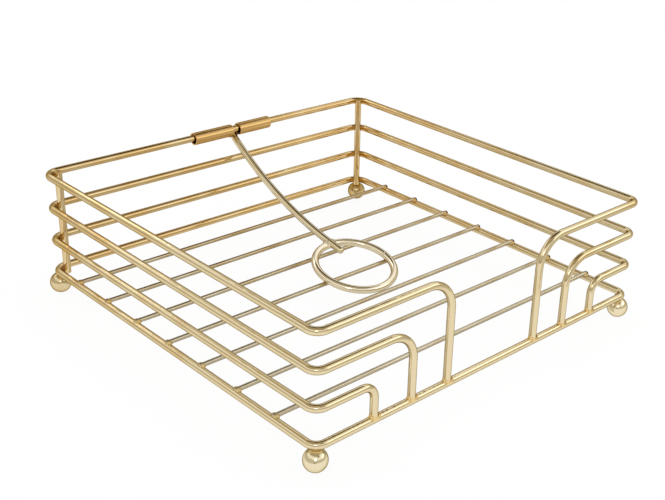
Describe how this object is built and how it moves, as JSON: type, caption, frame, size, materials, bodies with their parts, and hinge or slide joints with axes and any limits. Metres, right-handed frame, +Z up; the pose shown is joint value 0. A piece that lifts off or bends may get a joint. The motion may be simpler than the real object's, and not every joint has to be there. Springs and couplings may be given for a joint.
{
  "type": "napkin holder",
  "caption": "Square wire napkin tray with a stepped open front, ball feet and a weight ring on a swinging, sliding arm that holds the napkins down.",
  "frame": {"origin": "on the table the feet stand on, at the middle of the tray", "axes": "+X to the right seen from the open front, +Y to the back, +Z up"},
  "size_m": [0.1924, 0.1927, 0.0604],
  "materials": {
    "gold_wire": "bright gold electroplate on drawn steel wire",
    "gold_arm": "bright pale gold electroplate on drawn steel wire",
    "gold_sleeve": "bright gold electroplate on steel tube"
  },
  "bodies": {
    "basket": {"base_ring": "gold_wire", "rail_low": "gold_wire", "rail_mid": "gold_wire", "rail_top": "gold_wire", "floor_wire_1": "gold_wire", "floor_wire_2": "gold_wire", "floor_wire_3": "gold_wire", "floor_wire_4": "gold_wire", "floor_wire_5": "gold_wire", "floor_wire_6": "gold_wire", "floor_wire_7": "gold_wire", "post_left": "gold_wire", "post_right": "gold_wire", "foot_front_left": "gold_wire", "foot_front_right": "gold_wire", "foot_rear_left": "gold_wire", "foot_rear_right": "gold_wire"},
    "sleeves": {"sleeve_left": "gold_sleeve", "sleeve_right": "gold_sleeve"},
    "arm": {"arm_bar": "gold_arm", "weight_ring": "gold_arm"}
  },
  "joints": [
    {"name": "sleeve_slide", "type": "slide", "parent": "basket", "child": "sleeves", "axis": [1, 0, 0], "range_m": [-0.0713, 0.0562]},
    {"name": "arm_swing", "type": "hinge", "parent": "sleeves", "child": "arm", "pos_m": [0.0093, 0.09335, 0.0579], "axis": [-1, 0, 0], "range_deg": [0, 228]}
  ]
}
